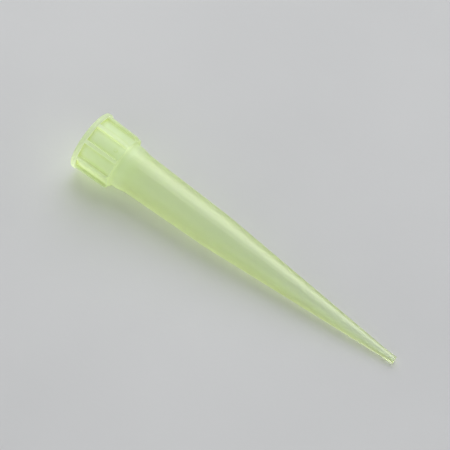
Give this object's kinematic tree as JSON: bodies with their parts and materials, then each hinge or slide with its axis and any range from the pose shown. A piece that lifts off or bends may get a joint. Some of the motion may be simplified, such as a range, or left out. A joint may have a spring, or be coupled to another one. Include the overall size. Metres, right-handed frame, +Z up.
{
  "type": "pipette tip",
  "caption": "Slender tapered pipette tip in translucent yellow plastic, with a ribbed collar whose open mouth pushes onto a pipette nozzle and a fine open end for the liquid.",
  "frame": {"origin": "on the surface the tip lies on, under the middle of its bounding box", "axes": "+X along the tip towards its fine end, +Z up from the surface it lies on, +Y across it; the tip's own axis dips 4.32 degrees below +X, because it rests on its rim and on the edge of its fine end"},
  "size_m": [0.0502, 0.0086, 0.0085],
  "materials": {
    "yellow_polypropylene": "satin, translucent, yellow-tinted polypropylene as moulded"
  },
  "bodies": {
    "root": {"pipette_tip": "yellow_polypropylene"}
  },
  "joints": []
}
